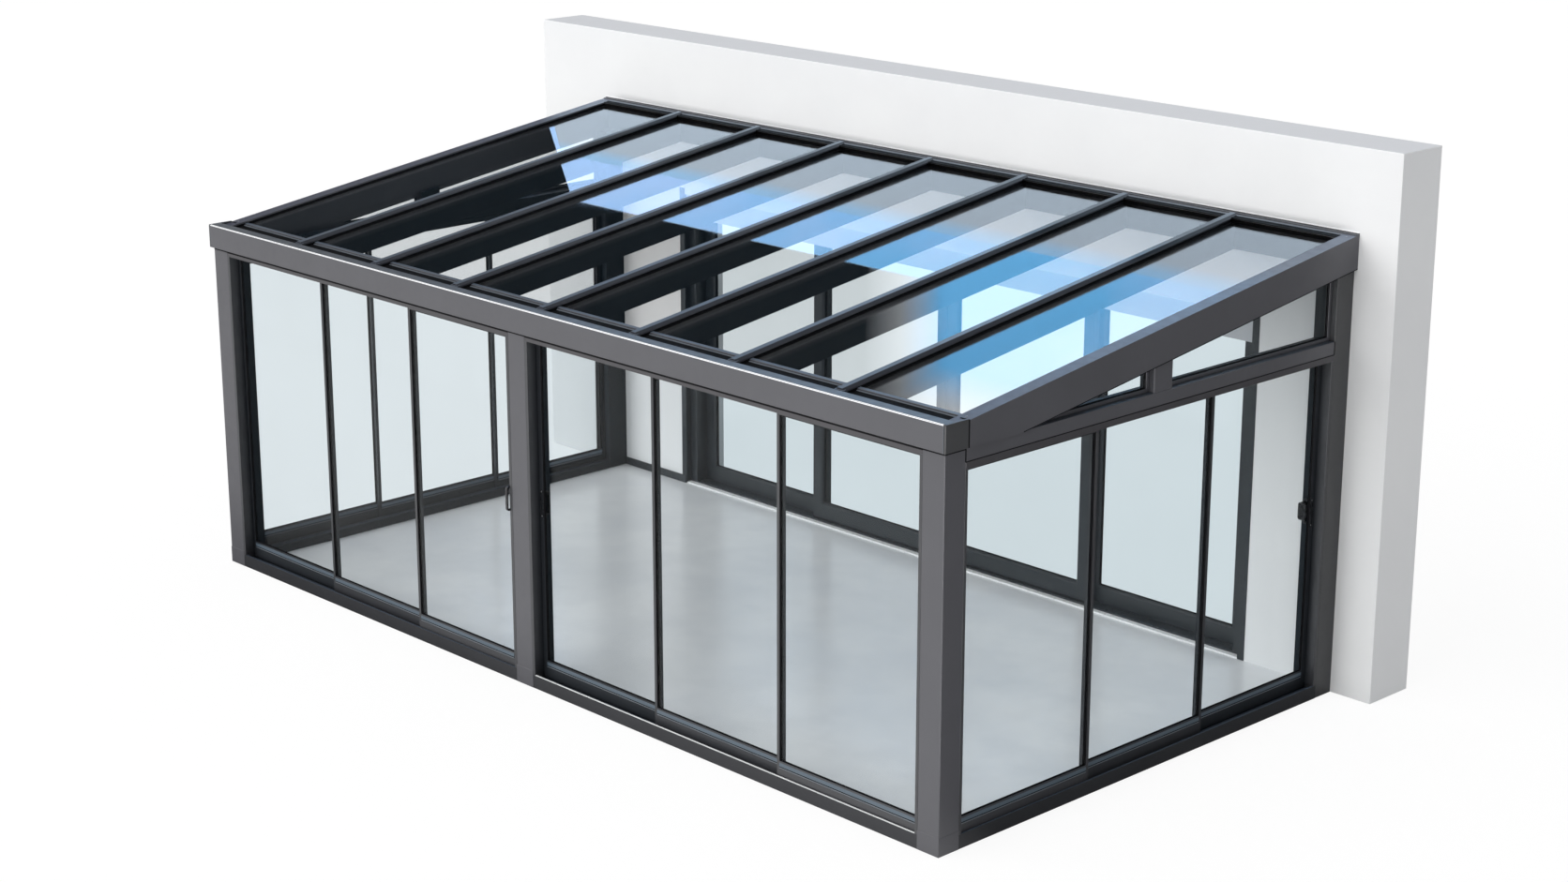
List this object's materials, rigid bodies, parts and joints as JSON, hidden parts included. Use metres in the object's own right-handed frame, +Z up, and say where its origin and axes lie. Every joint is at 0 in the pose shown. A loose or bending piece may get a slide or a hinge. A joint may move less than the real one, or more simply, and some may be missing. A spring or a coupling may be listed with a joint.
{
  "type": "lean-to glass conservatory",
  "caption": "Lean-to aluminium conservatory with a glass roof and three-track sliding glass panels, against a stretch of white house wall.",
  "frame": {"origin": "on the ground under the centre line of the front posts, in the middle of the room's width", "axes": "+X to the right along the front, +Y from the front to the house, +Z up"},
  "size_m": [7.5, 3.74, 3.24],
  "materials": {
    "frame_anthracite": "matt powder coat, anthracite grey",
    "door_frame_dark": "matt powder coat, darker grey",
    "glazing": "clear, slightly green at the edges",
    "wall_render": "smooth white masonry render",
    "floor_finish": "honed light grey, softly reflecting",
    "threshold_white": "smooth white"
  },
  "bodies": {
    "room": {"floor": "floor_finish", "wall_left": "wall_render", "wall_right": "wall_render", "wall_header": "wall_render", "front_posts": "frame_anthracite", "back_posts": "frame_anthracite", "gutter": "frame_anthracite", "gutter_end_caps": "frame_anthracite", "wall_plate": "frame_anthracite", "end_rafters": "frame_anthracite", "rafters": "frame_anthracite", "pane_foot_bars": "frame_anthracite", "roof_glass": "glazing", "transoms": "frame_anthracite", "fanlight_mullions": "frame_anthracite", "fanlight_beads": "frame_anthracite", "fanlight_glass": "glazing", "sills": "frame_anthracite", "head_tracks": "frame_anthracite", "jamb_profiles": "frame_anthracite", "fixed_panel_frames": "frame_anthracite", "fixed_panel_glass": "glazing", "patio_frame": "door_frame_dark", "patio_threshold": "threshold_white", "skirting": "door_frame_dark", "patio_fixed_sashes": "door_frame_dark", "patio_fixed_glass": "glazing"},
    "front_left_middle_panel": {"front_left_middle_frame": "frame_anthracite", "front_left_middle_glass": "glazing"},
    "front_left_outer_panel": {"front_left_outer_frame": "frame_anthracite", "front_left_outer_glass": "glazing"},
    "front_right_middle_panel": {"front_right_middle_frame": "frame_anthracite", "front_right_middle_glass": "glazing"},
    "front_right_inner_panel": {"front_right_inner_frame": "frame_anthracite", "front_right_inner_glass": "glazing"},
    "right_side_middle_panel": {"right_side_middle_frame": "frame_anthracite", "right_side_middle_glass": "glazing"},
    "right_side_inner_panel": {"right_side_inner_frame": "frame_anthracite", "right_side_inner_glass": "glazing"},
    "left_side_middle_panel": {"left_side_middle_frame": "frame_anthracite", "left_side_middle_glass": "glazing"},
    "left_side_inner_panel": {"left_side_inner_frame": "frame_anthracite", "left_side_inner_glass": "glazing"},
    "patio_left_door": {"patio_left_sash": "door_frame_dark", "patio_left_glass": "glazing"},
    "patio_right_door": {"patio_right_sash": "door_frame_dark", "patio_right_glass": "glazing"}
  },
  "joints": [
    {"name": "front_left_middle_slide", "type": "slide", "parent": "room", "child": "front_left_middle_panel", "axis": [1, 0, 0], "range_m": [-0.95633, 0]},
    {"name": "front_left_outer_slide", "type": "slide", "parent": "room", "child": "front_left_outer_panel", "axis": [1, 0, 0], "range_m": [-1.91266, 0]},
    {"name": "front_right_middle_slide", "type": "slide", "parent": "room", "child": "front_right_middle_panel", "axis": [1, 0, 0], "range_m": [0, 1.02967]},
    {"name": "front_right_inner_slide", "type": "slide", "parent": "room", "child": "front_right_inner_panel", "axis": [1, 0, 0], "range_m": [0, 2.05934]},
    {"name": "right_side_middle_slide", "type": "slide", "parent": "room", "child": "right_side_middle_panel", "axis": [0, 1, 0], "range_m": [-1.00133, 0]},
    {"name": "right_side_inner_slide", "type": "slide", "parent": "room", "child": "right_side_inner_panel", "axis": [0, 1, 0], "range_m": [-2.00266, 0]},
    {"name": "left_side_middle_slide", "type": "slide", "parent": "room", "child": "left_side_middle_panel", "axis": [0, 1, 0], "range_m": [-1.00133, 0]},
    {"name": "left_side_inner_slide", "type": "slide", "parent": "room", "child": "left_side_inner_panel", "axis": [0, 1, 0], "range_m": [-2.00266, 0]},
    {"name": "patio_left_slide", "type": "slide", "parent": "room", "child": "patio_left_door", "axis": [1, 0, 0], "range_m": [-1.1775, 0]},
    {"name": "patio_right_slide", "type": "slide", "parent": "room", "child": "patio_right_door", "axis": [1, 0, 0], "range_m": [0, 1.1775]}
  ]
}
